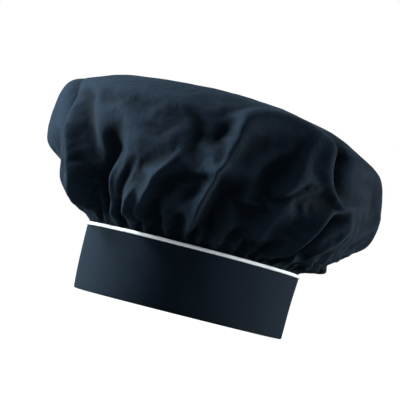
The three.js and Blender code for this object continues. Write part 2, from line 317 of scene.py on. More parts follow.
def tuck(sizes, angle, at):
    """The gathers pull the cloth in between their crests, and die out up the crown."""
    g = np.floor(angle / TURN * sizes.gathers)
    g = np.where(angle < crest_angle(sizes, g), g - 1, g)
    g = np.where(angle >= crest_angle(sizes, g + 1), g + 1, g)
    low, high = crest_angle(sizes, g), crest_angle(sizes, g + 1)
    between = np.clip((angle - low) / (high - low), 0, 1)
    k = np.mod(g, sizes.gathers)
    middle, half = np.radians(FOLDED_SIDE)
    folded = np.abs(wrap(angle - middle)) < half
    depth = sizes.gather_depth * (0.6 + 0.9 * scatter(k, 2)) * np.where(folded, 1.1, 1)
    reach = np.where(folded, 0.12 + 0.14 * scatter(k, 3), 0.14 + 0.2 * scatter(k, 3))
    grow = 0.3 + 0.7 * smooth(at, 0, 0.06)
    fade = 1 - smooth(at, 0.3 * reach, reach)
    return depth * grow * fade * np.sin(math.pi * between) ** 0.9


def crown_points(sizes, angle, at):
    """Points on the crown's outside."""
    r, z = outline(sizes, angle, at)
    out_r, out_z = outward(sizes, angle, at)
    radius = np.maximum(r, 0.3 * sizes.crown_radius)
    folds = sum(upright(sizes, fold, angle, at, radius) for fold in FOLDS + far_folds())
    folds = folds + sum(sideways(sizes, fold, angle, at, radius) for fold in LAPS)
    room = 1.5 * sizes.fold_depth * smooth(at, 0.03, 0.17)
    shift = np.minimum(folds * smooth(at, -0.02, 0.06) - tuck(sizes, angle, at), room)
    return np.stack(
        [
            (r + out_r * shift) * np.cos(angle),
            (r + out_r * shift) * np.sin(angle),
            z + out_z * shift,
        ],
        -1,
    )


def ring_grid(levels):
    """Rings of points joined into faces, where a ring may have half the points of the one
    below it. levels holds (at, count) from the seam up. The last point closes the top."""
    angles, ats, faces, first = [], [], [], []
    for at, count in levels:
        first.append(len(angles))
        angles += [TURN * j / count for j in range(count)]
        ats += [at] * count
    for k in range(len(levels) - 1):
        a, b = first[k], first[k + 1]
        n, m = levels[k][1], levels[k + 1][1]
        for j in range(m):
            if n == m:
                faces.append((a + j, a + (j + 1) % n, b + (j + 1) % n, b + j))
                continue
            low = [a + 2 * j, a + 2 * j + 1, a + (2 * j + 2) % n]
            high = [b + j, b + (j + 1) % m]
            faces += [
                (low[0], low[1], high[0]),
                (low[1], high[1], high[0]),
                (low[1], low[2], high[1]),
            ]
    tip, n = len(angles), levels[-1][1]
    faces += [(first[-1] + j, first[-1] + (j + 1) % n, tip) for j in range(n)]
    return np.array(angles + [0.0]), np.array(ats + [1.0]), faces


def new_object(name, points, faces):
    mesh = bpy.data.meshes.new(name)
    mesh.from_pydata(np.asarray(points).tolist(), [], faces)
    mesh.update()
    mesh.shade_smooth()
    made = bpy.data.objects.new(name, mesh)
    bpy.context.scene.collection.objects.link(made)
    return made


def set_uv(mesh, uv):
    """Gives each corner the UV of its vertex, in metres of cloth."""
    layer = mesh.uv_layers.new(name="Cloth")
    corners = np.empty(len(mesh.loops), np.int32)
    mesh.loops.foreach_get("vertex_index", corners)
    layer.data.foreach_set("uv", uv[corners].astype(np.float32).ravel())


# The point attribute that mixes the cloth colours: above 0.5 it stands for wear and painted
# highlight on crests, below 0.5 for painted shade in hollows.
def set_worn_and_lit(mesh, values):
    layer = mesh.attributes.new("worn", "FLOAT", "POINT")
    layer.data.foreach_set("value", np.clip(values, 0, 1).astype(np.float32))


def hoop(name, angle, profile, shape):
    """A closed hoop through a profile of (offset, height) that turns clockwise, seen in the
    direction in which the angle grows. shape(height, offset) gives its radius at each angle."""
    count, rings = len(angle), len(profile)
    points, uv = [], []
    reach, last = 0.0, profile[0]
    for offset, z in profile:
        radius = shape(z, offset)
        flat = np.full(count, z)
        points.append(np.stack([radius * np.cos(angle), radius * np.sin(angle), flat], -1))
        reach += math.hypot(offset - last[0], z - last[1])
        last = (offset, z)
        uv.append(np.stack([angle * 0.095, np.full(count, reach)], -1))
    faces = []
    for k in range(rings):
        a, b = k * count, (k + 1) % rings * count
        for j in range(count):
            n = (j + 1) % count
            faces.append((a + j, a + n, b + n, b + j))
    made = new_object(name, np.vstack(points), faces)
    set_uv(made.data, np.vstack(uv))
    set_worn_and_lit(made.data, np.full(rings * count, 0.5))
    return made


def closed_line(name, angle, radius, z):
    count = len(angle)
    mesh = bpy.data.meshes.new(name)
    points = np.stack([radius * np.cos(angle), radius * np.sin(angle), np.full(count, z)], -1)
    mesh.from_pydata(points.tolist(), [(j, (j + 1) % count) for j in range(count)], [])
    made = bpy.data.objects.new(name, mesh)
    bpy.context.scene.collection.objects.link(made)
    return made


def with_modifiers_applied(made):
    """Turns an object with its modifiers into a plain mesh."""
    graph = bpy.context.evaluated_depsgraph_get()
    mesh = bpy.data.meshes.new_from_object(made.evaluated_get(graph))
    old = made.data
    made.modifiers.clear()
    made.data = mesh
    mesh.name = made.name
    bpy.data.meshes.remove(old)


def subdivide(made, levels):
    modifier = made.modifiers.new("Subdivision", "SUBSURF")
    modifier.levels = modifier.render_levels = levels


def read_points(mesh):
    points = np.empty(len(mesh.vertices) * 3, np.float32)
    mesh.vertices.foreach_get("co", points)
    return points.reshape(-1, 3).astype(float)


def weigh(made, name, values):
    """A vertex group with these weights, in steps of a hundredth."""
    group = made.vertex_groups.new(name=name)
    values = np.round(values, 2)
    for level in np.unique(values):
        group.add(np.flatnonzero(values == level).tolist(), float(level), "REPLACE")
    return group


def settle(made, hold, taut, spare, frames):
    """Lets the cloth hang for some frames. hold says how firmly each point is held in place,
    and spare is how much longer the cloth is than the shape that it starts from, where taut
    is 0."""
    scale = 10.0
    made.data.transform(Matrix.Scale(scale, 4))
    held = weigh(made, "Held", hold)
    stretched = weigh(made, "Taut", taut)
    cloth = made.modifiers.new("Cloth", "CLOTH")
    fabric = cloth.settings
    fabric.quality = 6
    fabric.mass = 0.15
    fabric.air_damping = 2
    fabric.tension_stiffness = 60
    fabric.compression_stiffness = 30
    fabric.shear_stiffness = 20
    fabric.bending_stiffness = 0.3
    fabric.tension_damping = fabric.compression_damping = fabric.shear_damping = 8
    fabric.bending_damping = 1
    fabric.vertex_group_mass = held.name
    fabric.pin_stiffness = 1.0
    fabric.vertex_group_shrink = stretched.name
    fabric.shrink_min = -spare
    fabric.shrink_max = 0.0
    fabric.effector_weights.gravity = 0.05
    cloth.collision_settings.use_collision = False
    cloth.point_cache.frame_start = 1
    cloth.point_cache.frame_end = frames + 1
    for number in range(1, frames + 1):
        bpy.context.scene.frame_set(number)
    with_modifiers_applied(made)
    bpy.context.scene.frame_set(1)
    made.vertex_groups.clear()
    settled = read_points(made.data) / scale
    if not np.isfinite(settled).all():
        raise RuntimeError("The cloth of " + made.name + " didn't settle")
    made.data.vertices.foreach_set("co", settled.astype(np.float32).ravel())
    made.data.update()


def crest_and_hollow(mesh):
    """How far each point stands out of the cloth around it, in metres, near it and widely."""
    count = len(mesh.vertices)
    ends = np.empty(len(mesh.edges) * 2, np.int32)
    mesh.edges.foreach_get("vertices", ends)
    a, b = ends[0::2], ends[1::2]
    linked = np.bincount(ends, minlength=count)[:, None]
    normals = np.empty(count * 3, np.float32)
    mesh.vertices.foreach_get("normal", normals)
    normals = normals.reshape(-1, 3)
    points = read_points(mesh)
    smoothed = points.copy()
    found = []
    for number in range(1, FOLD_PASSES + 1):
        total = np.zeros_like(smoothed)
        np.add.at(total, a, smoothed[b])
        np.add.at(total, b, smoothed[a])
        smoothed = total / linked
        if number in (CREASE_PASSES, FOLD_PASSES):
            found.append(((points - smoothed) * normals).sum(1))
    return found


class HatSizes(bpy.types.PropertyGroup):
    band_width: FloatProperty(
        name="Band width",
        description="Side to side across the band's outside, at the rim",
        default=0.174,
        unit="LENGTH",
    )
    band_length: FloatProperty(
        name="Band length",
        description="Front to back across the band's outside, at the rim",
        default=0.204,
        unit="LENGTH",
    )
    band_height: FloatProperty(
        name="Band height",
        description="From the rim to the seam",
        default=0.055,
        unit="LENGTH",
    )
    band_flare: FloatProperty(
        name="Band flare",
        description="How much further out the band is at the seam than at the rim",
        default=0.002,
        unit="LENGTH",
    )
    band_wall: FloatProperty(
        name="Band thickness",
        description="Both layers of the folded band and its stiffening",
        default=0.003,
        unit="LENGTH",
    )
    piping: FloatProperty(
        name="Piping thickness",
        description="Across the covered cord in the seam",
        default=0.003,
        unit="LENGTH",
    )
    seam_gap: FloatProperty(
        name="Seam clearance",
        description="Room between the pieces in the seam",
        default=0.0003,
        unit="LENGTH",
    )
    crown_radius: FloatProperty(
        name="Crown radius",
        description="How far out the crown reaches",
        default=0.141,
        unit="LENGTH",
    )
    crown_height: FloatProperty(
        name="Crown height",
        description="From the seam to the middle of the top",
        default=0.137,
        unit="LENGTH",
    )
    cloth: FloatProperty(
        name="Cloth thickness",
        description="Thickness of the crown's cloth",
        default=0.0015,
        unit="LENGTH",
    )
    gathers: IntProperty(
        name="Gathers",
        description="Gathers round the seam",
        default=44,
        min=8,
    )
    gather_depth: FloatProperty(
        name="Gather depth",
        description="How far the cloth is pulled in between two gathers",
        default=0.010,
        unit="LENGTH",
    )
    fold_depth: FloatProperty(
        name="Fold depth",
        description="How far a fold of share 1 stands out of the crown",
        default=0.012,
        unit="LENGTH",
    )
    fold_width: FloatProperty(
        name="Fold width",
        description="How wide a fold of share 1 is",
        default=0.012,
        unit="LENGTH",
    )


class HatColours(bpy.types.PropertyGroup):
    cloth: FloatVectorProperty(
        name="Cloth",
        description="Colour of the dyed cloth",
        default=(0.0018, 0.0033, 0.0056),
        subtype="COLOR",
        min=0,
        max=1,
    )
    # Lighter end of the cloth colour: crests worn by folding, with painted highlight where folds
    # catch the light.
    worn: FloatVectorProperty(
        name="Worn and lit cloth",
        description="Colour of the cloth where folding has lightened it",
        default=(0.0068, 0.0122, 0.0200),
        subtype="COLOR",
        min=0,
        max=1,
    )
    piping: FloatVectorProperty(
        name="Piping",
        description="Colour of the cloth round the cord",
        default=(0.80, 0.82, 0.84),
        subtype="COLOR",
        min=0,
        max=1,
    )
    floor: FloatVectorProperty(
        name="Floor",
        description="Colour of the studio floor",
        default=(0.22, 0.22, 0.22),
        subtype="COLOR",
        min=0,
        max=1,
    )


class HatView(bpy.types.PropertyGroup):
    azimuth: FloatProperty(
        name="Azimuth",
        description="Angle of the camera round the hat",
        default=math.radians(40),
        subtype="ANGLE",
    )
    elevation: FloatProperty(
        name="Elevation",
        description="Angle of the camera above the point that it looks at, negative below",
        default=math.radians(-3.2),
        subtype="ANGLE",
    )
    roll: FloatProperty(
        name="Roll",
        description="How far the hat leans clockwise in the picture",
        default=math.radians(14.25),
        subtype="ANGLE",
    )
    distance: FloatProperty(
        name="Distance",
        description="From the camera to the hat",
        default=1.5,
        unit="LENGTH",
    )
    width: FloatProperty(
        name="Width of view",
        description="Width of what the picture shows at the hat",
        default=0.350,
        unit="LENGTH",
    )


class HatSettings(bpy.types.PropertyGroup):
    sizes: PointerProperty(type=HatSizes, name="Sizes", description="Sizes of the hat")
    colours: PointerProperty(type=HatColours, name="Colours", description="Its colours")
    view: PointerProperty(type=HatView, name="View", description="The picture's view")


def group_with(name, inputs, outputs):
    """A node group with named float or vector sockets, and its two end nodes."""
    group = bpy.data.node_groups.new(name, "ShaderNodeTree")
    for label, kind, value in inputs:
        socket = group.interface.new_socket(label, in_out="INPUT", socket_type=kind)
        if value is not None:
            socket.default_value = value
    for label, kind in outputs:
        group.interface.new_socket(label, in_out="OUTPUT", socket_type=kind)
    return group, group.nodes.new("NodeGroupInput"), group.nodes.new("NodeGroupOutput")


def maths(tree, operation, first, second=None, third=None):
    node = tree.nodes.new("ShaderNodeMath")
    node.operation = operation
    for socket, value in zip(node.inputs, (first, second, third)):
        if isinstance(value, bpy.types.NodeSocket):
            tree.links.new(value, socket)
        elif value is not None:
            socket.default_value = value
    return node.outputs[0]


def twill_group():
    """Twill: fine diagonal ribs, crossed by the threads, with thicker threads here and there."""
    group, start, end = group_with(
        "Twill weave",
        [
            ("Cloth", "NodeSocketVector", None),
            ("Threads per metre", "NodeSocketFloat", 2600.0),
            ("Slubs", "NodeSocketFloat", 0.4),
        ],
        [("Height", "NodeSocketFloat"), ("Mottle", "NodeSocketFloat")],
    )
    links = group.links
    split = group.nodes.new("ShaderNodeSeparateXYZ")
    links.new(start.outputs["Cloth"], split.inputs[0])
    turns = maths(group, "MULTIPLY", start.outputs["Threads per metre"], TURN / 2)
    across = maths(group, "MULTIPLY", split.outputs["X"], turns)
    up = maths(group, "MULTIPLY", split.outputs["Y"], turns)
    rib = maths(group, "SINE", maths(group, "ADD", across, up))
    warp = maths(group, "SINE", maths(group, "MULTIPLY", across, 2.0))
    weft = maths(group, "SINE", maths(group, "MULTIPLY", up, 2.0))
    thread = maths(group, "MULTIPLY", warp, weft)
    woven = maths(group, "MULTIPLY_ADD", thread, 0.35, maths(group, "MULTIPLY", rib, 0.5))
    streaks = []
    for stretch in ((60.0, 900.0, 1.0), (900.0, 60.0, 1.0)):
        scale = group.nodes.new("ShaderNodeVectorMath")
        scale.operation = "MULTIPLY"
        links.new(start.outputs["Cloth"], scale.inputs[0])
        scale.inputs[1].default_value = stretch
        noise = group.nodes.new("ShaderNodeTexNoise")
        noise.inputs["Scale"].default_value = 1.0
        noise.inputs["Detail"].default_value = 2.0
        links.new(scale.outputs[0], noise.inputs["Vector"])
        streaks.append(noise.outputs["Fac"])
    slub = maths(group, "ADD", maths(group, "ADD", *streaks), -1.0)
    slub = maths(group, "MULTIPLY", slub, start.outputs["Slubs"])
    height = maths(group, "ADD", woven, slub)
    links.new(height, end.inputs["Height"])
    links.new(maths(group, "ADD", slub, 0.5), end.inputs["Mottle"])
    return group


def new_material(name):
    material = bpy.data.materials.new(name)
    material.use_nodes = True
    tree = material.node_tree
    return material, tree, tree.nodes["Principled BSDF"]


def cloth_material(name, colours, weave, crumple):
    """Dyed twill. crumple is the depth of its small creases, and a point attribute says how far
    folding has worn it lighter, with painted highlight on fold crests and painted shade in the
    hollows between them."""
    material, tree, shader = new_material(name)
    nodes, links = tree.nodes, tree.links

    uv = nodes.new("ShaderNodeUVMap")
    uv.uv_map = "Cloth"
    woven = nodes.new("ShaderNodeGroup")
    woven.node_tree = weave
    links.new(uv.outputs["UV"], woven.inputs["Cloth"])

    place = nodes.new("ShaderNodeTexCoord")
    blotches = nodes.new("ShaderNodeTexNoise")
    blotches.inputs["Scale"].default_value = 22.0
    blotches.inputs["Detail"].default_value = 4.0
    blotches.inputs["Roughness"].default_value = 0.6
    links.new(place.outputs["Object"], blotches.inputs["Vector"])

    creases = nodes.new("ShaderNodeTexNoise")
    creases.inputs["Scale"].default_value = 95.0
    creases.inputs["Detail"].default_value = 3.0
    creases.inputs["Distortion"].default_value = 0.4
    links.new(place.outputs["Object"], creases.inputs["Vector"])

    worn = nodes.new("ShaderNodeAttribute")
    worn.attribute_name = "worn"
    # Random blotches and mottle, plus wear, painted highlight on crests and painted shade in
    # hollows from the point attribute.
    tone_and_shading = maths(tree, "MULTIPLY_ADD", blotches.outputs["Fac"], 0.7, -0.6)
    tone_and_shading = maths(tree, "MULTIPLY_ADD", worn.outputs["Fac"], 1.0, tone_and_shading)
    tone_and_shading = maths(tree, "MULTIPLY_ADD", woven.outputs["Mottle"], 0.35, tone_and_shading)
    colour = nodes.new("ShaderNodeMix")
    colour.data_type = "RGBA"
    colour.inputs["A"].default_value = (*colours.cloth, 1)
    colour.inputs["B"].default_value = (*colours.worn, 1)
    colour.clamp_factor = True
    links.new(tone_and_shading, colour.inputs["Factor"])
    links.new(colour.outputs["Result"], shader.inputs["Base Color"])

    rough = maths(tree, "MULTIPLY_ADD", blotches.outputs["Fac"], 0.16, 0.78)
    links.new(rough, shader.inputs["Roughness"])
    cool = (0.55, 0.78, 1.0, 1)
    for label, value in (
        ("Specular IOR Level", 0.06),
        ("Specular Tint", cool),
        ("Sheen Weight", 0.025),
        ("Sheen Roughness", 0.45),
        ("Sheen Tint", cool),
    ):
        shader.inputs[label].default_value = value

    soft = nodes.new("ShaderNodeBump")
    soft.inputs["Distance"].default_value = crumple
    soft.inputs["Strength"].default_value = 1.0
    links.new(creases.outputs["Fac"], soft.inputs["Height"])
    fine = nodes.new("ShaderNodeBump")
    fine.inputs["Distance"].default_value = 0.00006
    fine.inputs["Strength"].default_value = 0.8
    links.new(woven.outputs["Height"], fine.inputs["Height"])
    links.new(soft.outputs["Normal"], fine.inputs["Normal"])
    links.new(fine.outputs["Normal"], shader.inputs["Normal"])
    return material


def hat_materials(colours):
    """The cloth of the crown and the band, made once."""
    if "Crown cloth" not in bpy.data.materials:
        weave = twill_group()
        cloth_material("Crown cloth", colours, weave, crumple=0.0012)
        cloth_material("Band cloth", colours, weave, crumple=0.0004)


def crown_shape(sizes):
    """The crown before it settles: its rings up to the top, and a collar under the first ring.
    Also gives how far up each point of the rings is."""
    levels = []
    for k in range(CROWN_RINGS):
        at = k / CROWN_RINGS
        halvings = sum(at >= share for share in HALVED_AT)
        levels.append((at, POINTS_AT_SEAM >> halvings))
    angle, at, faces = ring_grid(levels)
    points = crown_points(sizes, angle, at)
    count = POINTS_AT_SEAM
    around = angle[:count]
    collar = collar_radius(sizes, around)
    level = np.full(count, sizes.band_height + sizes.seam_gap)
    foot = np.stack([collar * np.cos(around), collar * np.sin(around), level], -1)
    first = len(points)
    for j in range(count):
        n = (j + 1) % count
        faces.append((first + j, first + n, n, j))
    made = new_object("crown_cloth", np.vstack([points, foot]), faces)

    below_seam = np.full(count, -0.01)
    out = CUT_RADIUS * (1 - np.concatenate([at, below_seam]))
    turn = np.concatenate([angle, around])
    set_uv(made.data, np.stack([out * np.cos(turn), out * np.sin(turn)], -1))
    return made, at


class HAT_OT_gather_crown(bpy.types.Operator):
    """Gathers a circle of soft cloth into the crown"""

    bl_idname = "hat.gather_crown"
    bl_label = "Gather the crown"

    def execute(self, context):
        sizes = context.scene.chef_hat.sizes
        made, at = crown_shape(sizes)
        pinned = np.ones(POINTS_AT_SEAM)
        firm = 0.75 - 0.60 * smooth(at, 0.12, 0.35) + 0.10 * smooth(at, 0.4, 0.75)
        hold = np.concatenate([np.where(at <= 0, 1.0, firm), pinned])
        taut = np.concatenate([smooth(at, 0.5, 0.7), pinned])
        settle(made, hold, taut, spare=0.045, frames=20)
        # Crests are made lighter, as wear and painted highlight, and hollows darker, as painted
        # shade.
        crease, fold = crest_and_hollow(made.data)
        fold = fold - np.median(fold)
        set_worn_and_lit(made.data, 0.5 + CREASE_WEAR_AND_SHADE * crease + FOLD_WEAR_AND_SHADE * fold)
        subdivide(made, 1)
        wall = made.modifiers.new("Thickness", "SOLIDIFY")
        wall.thickness = sizes.cloth
        wall.offset = -1
        with_modifiers_applied(made)
        hat_materials(context.scene.chef_hat.colours)
        made.data.materials.clear()
        made.data.materials.append(bpy.data.materials["Crown cloth"])
        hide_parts("crown")
        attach(made, "root")
        return {"FINISHED"}


def band_profile(sizes):
    """Once round the folded strip: up its outside, down and up the slot between its layers,
    down its inside, and round the fold at the rim."""
    height, wall = sizes.band_height, sizes.band_wall
    turned, layer = wall / 2, wall / 3
    edge, brink = height - 0.0006, height - 0.0001
    profile = [(0.0, z) for z in np.linspace(turned, edge, 9)]
    profile += [(-layer / 4, brink), (-layer * 3 / 4, brink)]
    profile += [(-layer, z) for z in np.linspace(edge, turned, 5)]
    profile.append((-turned, turned - 0.0004))
    profile += [(layer - wall, z) for z in np.linspace(turned, edge, 5)]
    profile += [(layer * 3 / 4 - wall, brink), (layer / 4 - wall, brink)]
    profile += [(-wall, z) for z in np.linspace(edge, turned, 9)]
    for turn in np.linspace(0, math.pi, 7)[1:-1]:
        profile.append((-turned * (1 + math.cos(turn)), turned * (1 - math.sin(turn))))
    return profile


def buckle(angle, share):
    """Slight waves round the band, which shift with the share of its height."""
    waves = np.sin(3 * angle + 0.8 + share) + 0.7 * np.sin(5 * angle + 2 - 2 * share)
    return waves + 0.5 * np.sin(11 * angle + 4 * share)


def join_groove(sizes, angle):
    """How deep the join's groove is, between two low swells."""
    away = wrap(angle - JOIN) * sizes.band_length / 2
    groove = 0.0004 * np.exp(-((away / 0.0007) ** 2))
    return groove - 0.0003 * np.exp(-(((np.abs(away) - 0.0022) / 0.0014) ** 2))


class HAT_OT_sew_band(bpy.types.Operator):
    """Folds a strip of cloth lengthwise into the band"""

    bl_idname = "hat.sew_band"
    bl_label = "Sew the band"

    def execute(self, context):
        sizes = context.scene.chef_hat.sizes
        near_join = JOIN + np.linspace(-0.05, 0.05, 31)
        angle = np.unique(np.concatenate([TURN * np.arange(288) / 288, near_join]).round(6))
        groove = join_groove(sizes, angle)

        def shape(z, offset):
            share = z / sizes.band_height
            inside = -1 if offset < -sizes.band_wall / 2 else 1
            slack = 0.00045 * buckle(angle, share) * (1 - share**3)
            slack -= inside * groove * min(1, 9 * (1 - share))
            return band_radius(sizes, angle, share) + offset + slack

        made = hoop("band_cloth", angle, band_profile(sizes), shape)
        subdivide(made, 1)
        with_modifiers_applied(made)
        hat_materials(context.scene.chef_hat.colours)
        made.data.materials.append(bpy.data.materials["Band cloth"])
        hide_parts("band")
        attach(made, "root")
        return {"FINISHED"}


def line_tools(name, inputs, result):
    """A group that turns a line into a mesh, its two end nodes, and the line as a curve."""
    tree = bpy.data.node_groups.new(name, "GeometryNodeTree")
    tree.interface.new_socket("Line", in_out="INPUT", socket_type="NodeSocketGeometry")
    for label, kind in (*inputs, ("Material", "Material")):
        tree.interface.new_socket(label, in_out="INPUT", socket_type="NodeSocket" + kind)
    tree.interface.new_socket(result, in_out="OUTPUT", socket_type="NodeSocketGeometry")
    start = tree.nodes.new("NodeGroupInput")
    line = tree.nodes.new("GeometryNodeMeshToCurve")
    tree.links.new(start.outputs["Line"], line.inputs["Mesh"])
    return tree, start, tree.nodes.new("NodeGroupOutput"), line.outputs["Curve"]


def finish_tree(tree, start, end, shape):
    """Smooths the shape, makes its copies real and gives it the material."""
    for kind in ("SetShadeSmooth", "RealizeInstances", "SetMaterial"):
        node = tree.nodes.new("GeometryNode" + kind)
        tree.links.new(shape, node.inputs["Geometry"])
        shape = node.outputs["Geometry"]
    tree.links.new(start.outputs["Material"], node.inputs["Material"])
    tree.links.new(shape, end.inputs[0])


def piping_tree():
    """A covered cord that follows a line: thickness, sides and material are inputs."""
    inputs = (("Thickness", "Float"), ("Sides", "Int"))
    tree, start, end, line = line_tools("Covered cord", inputs, "Cord")
    nodes, links = tree.nodes, tree.links
    run = nodes.new("GeometryNodeSplineParameter")
    keep_run = nodes.new("GeometryNodeCaptureAttribute")
    keep_run.capture_items.new("FLOAT", "Run")
    links.new(line, keep_run.inputs["Geometry"])
    links.new(run.outputs["Length"], keep_run.inputs["Run"])
    ring = nodes.new("GeometryNodeCurvePrimitiveCircle")
    links.new(start.outputs["Sides"], ring.inputs["Resolution"])
    half = nodes.new("ShaderNodeMath")
    half.operation = "MULTIPLY"
    half.inputs[1].default_value = 0.5
    links.new(start.outputs["Thickness"], half.inputs[0])
    links.new(half.outputs[0], ring.inputs["Radius"])
    keep_round = nodes.new("GeometryNodeCaptureAttribute")
    keep_round.capture_items.new("FLOAT", "Round")
    links.new(ring.outputs["Curve"], keep_round.inputs["Geometry"])
    links.new(run.outputs["Length"], keep_round.inputs["Round"])
    sweep = nodes.new("GeometryNodeCurveToMesh")
    links.new(keep_run.outputs["Geometry"], sweep.inputs["Curve"])
    links.new(keep_round.outputs["Geometry"], sweep.inputs["Profile Curve"])
    uv = nodes.new("ShaderNodeCombineXYZ")
    links.new(keep_run.outputs["Run"], uv.inputs["X"])
    links.new(keep_round.outputs["Round"], uv.inputs["Y"])
    store = nodes.new("GeometryNodeStoreNamedAttribute")
    store.data_type = "FLOAT2"
    store.domain = "CORNER"
    store.inputs["Name"].default_value = "Cloth"
    links.new(sweep.outputs["Mesh"], store.inputs["Geometry"])
    links.new(uv.outputs[0], store.inputs["Value"])
    finish_tree(tree, start, end, store.outputs["Geometry"])
    return tree


def set_inputs(modifier, **values):
    """Sets a Geometry Nodes modifier's inputs by the identifiers of their sockets."""
    for item in modifier.node_group.interface.items_tree:
        if item.item_type == "SOCKET" and item.in_out == "INPUT" and item.name in values:
            modifier[item.identifier] = values[item.name]


def piping_material(colours):
    """White cloth cut on the bias, so that its threads cross the cord slantwise."""
    material, tree, shader = new_material("Piping cloth")
    nodes, links = tree.nodes, tree.links
    uv = nodes.new("ShaderNodeUVMap")
    uv.uv_map = "Cloth"
    turned = nodes.new("ShaderNodeMapping")
    turned.inputs["Rotation"].default_value = (0, 0, math.radians(45))
    links.new(uv.outputs["UV"], turned.inputs["Vector"])
    woven = nodes.new("ShaderNodeGroup")
    woven.node_tree = bpy.data.node_groups["Twill weave"]
    links.new(turned.outputs["Vector"], woven.inputs["Cloth"])
    place = nodes.new("ShaderNodeTexCoord")
    soil = nodes.new("ShaderNodeTexNoise")
    soil.inputs["Scale"].default_value = 140.0
    soil.inputs["Detail"].default_value = 3.0
    links.new(place.outputs["Object"], soil.inputs["Vector"])
    colour = nodes.new("ShaderNodeMix")
    colour.data_type = "RGBA"
    colour.inputs["A"].default_value = (*colours.piping, 1)
    colour.inputs["B"].default_value = (*(0.86 * c for c in colours.piping), 1)
    links.new(soil.outputs["Fac"], colour.inputs["Factor"])
    links.new(colour.outputs["Result"], shader.inputs["Base Color"])
    shader.inputs["Roughness"].default_value = 0.72
    fine = nodes.new("ShaderNodeBump")
    fine.inputs["Distance"].default_value = 0.00008
    links.new(woven.outputs["Height"], fine.inputs["Height"])
    links.new(fine.outputs["Normal"], shader.inputs["Normal"])
    return material


class HAT_OT_cover_piping(bpy.types.Operator):
    """Lays the covered cord round the seam"""

    bl_idname = "hat.cover_piping"
    bl_label = "Lay the piping"

    def execute(self, context):
        sizes = context.scene.chef_hat.sizes
        angle = TURN * np.arange(360) / 360
        level = sizes.band_height + sizes.seam_gap + sizes.piping / 2
        made = closed_line("piping_cloth", angle, piping_radius(sizes, angle), level)
        hat_materials(context.scene.chef_hat.colours)
        nodes = made.modifiers.new("Covered cord", "NODES")
        nodes.node_group = piping_tree()
        set_inputs(
            nodes,
            Thickness=sizes.piping,
            Sides=16,
            Material=piping_material(context.scene.chef_hat.colours),
        )
        with_modifiers_applied(made)
        if not made.data.polygons:
            raise RuntimeError("The piping came out empty")
        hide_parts("piping")
        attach(made, "root")
        return {"FINISHED"}


def stitches_tree():
    """Stitches along a line: pitch, length, thickness and material are inputs."""
    inputs = (("Pitch", "Float"), ("Length", "Float"), ("Thickness", "Float"))
    tree, start, end, line = line_tools("Row of stitches", inputs, "Stitches")
    nodes, links = tree.nodes, tree.links
    spots = nodes.new("GeometryNodeCurveToPoints")
    spots.mode = "LENGTH"
    links.new(line, spots.inputs["Curve"])
    links.new(start.outputs["Pitch"], spots.inputs["Length"])
    bead = nodes.new("GeometryNodeMeshUVSphere")
    bead.inputs["Segments"].default_value = 8
    bead.inputs["Rings"].default_value = 6
    bead.inputs["Radius"].default_value = 0.5
    long = nodes.new("ShaderNodeCombineXYZ")
    links.new(start.outputs["Thickness"], long.inputs["X"])
    links.new(start.outputs["Thickness"], long.inputs["Y"])
    links.new(start.outputs["Length"], long.inputs["Z"])
    place = nodes.new("GeometryNodeInstanceOnPoints")
    links.new(spots.outputs["Points"], place.inputs["Points"])
    links.new(bead.outputs["Mesh"], place.inputs["Instance"])
    links.new(spots.outputs["Rotation"], place.inputs["Rotation"])
    links.new(long.outputs[0], place.inputs["Scale"])
    finish_tree(tree, start, end, place.outputs["Instances"])
    return tree


def thread_material(colours):
    """Sewing thread, a little glossier than the cloth."""
    material, tree, shader = new_material("Thread")
    place = tree.nodes.new("ShaderNodeTexCoord")
    twist = tree.nodes.new("ShaderNodeTexNoise")
    twist.inputs["Scale"].default_value = 2400.0
    tree.links.new(place.outputs["Object"], twist.inputs["Vector"])
    colour = tree.nodes.new("ShaderNodeMix")
    colour.data_type = "RGBA"
    colour.inputs["A"].default_value = (*colours.cloth, 1)
    colour.inputs["B"].default_value = (*(1.6 * c for c in colours.worn), 1)
    tree.links.new(twist.outputs["Fac"], colour.inputs["Factor"])
    tree.links.new(colour.outputs["Result"], shader.inputs["Base Color"])
    shader.inputs["Roughness"].default_value = 0.5
    return material


class HAT_OT_bind_seam(bpy.types.Operator):
    """Covers the seam inside with a tape, stitched down along its lower edge"""

    bl_idname = "hat.bind_seam"
    bl_label = "Bind the seam"

    def execute(self, context):
        sizes = context.scene.chef_hat.sizes
        angle = TURN * np.arange(240) / 240
        below_seam, above_seam, thick, stitched_above_edge = 0.007, 0.0026, 0.0008, 0.0018
        low, high = sizes.band_height - below_seam, sizes.band_height + above_seam

        def shape(z, offset):
            return band_radius(sizes, angle, 1) - sizes.band_wall - sizes.seam_gap + offset

        profile = [(0.0, low), (0.0, high), (-thick / 2, high + thick / 2), (-thick, high)]
        profile += [(-thick, low), (-thick / 2, low - thick / 2)]
        tape = hoop("seam_tape", angle, profile, shape)
        subdivide(tape, 1)
        with_modifiers_applied(tape)
        hat_materials(context.scene.chef_hat.colours)
        tape.data.materials.append(bpy.data.materials["Band cloth"])
        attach(tape, "root")

        row = closed_line("tape_stitches", angle, shape(0, -thick), low + stitched_above_edge)
        nodes = row.modifiers.new("Row of stitches", "NODES")
        nodes.node_group = stitches_tree()
        set_inputs(
            nodes,
            Pitch=0.0028,
            Length=0.0021,
            Thickness=0.00045,
            Material=thread_material(context.scene.chef_hat.colours),
        )
        with_modifiers_applied(row)
        if not row.data.polygons:
            raise RuntimeError("The row of stitches came out empty")
        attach(row, "root")
        return {"FINISHED"}


def add_light(name, place, aim, size, power, colour):
    lamp = bpy.data.lights.new(name, "AREA")
    lamp.shape = "DISK"
    lamp.size = size
    lamp.energy = power
    lamp.color = colour
    made = bpy.data.objects.new(name, lamp)
    bpy.context.scene.collection.objects.link(made)
    made.location = place
    made.rotation_mode = "QUATERNION"
    made.rotation_quaternion = (Vector(aim) - Vector(place)).to_track_quat("-Z", "Y")


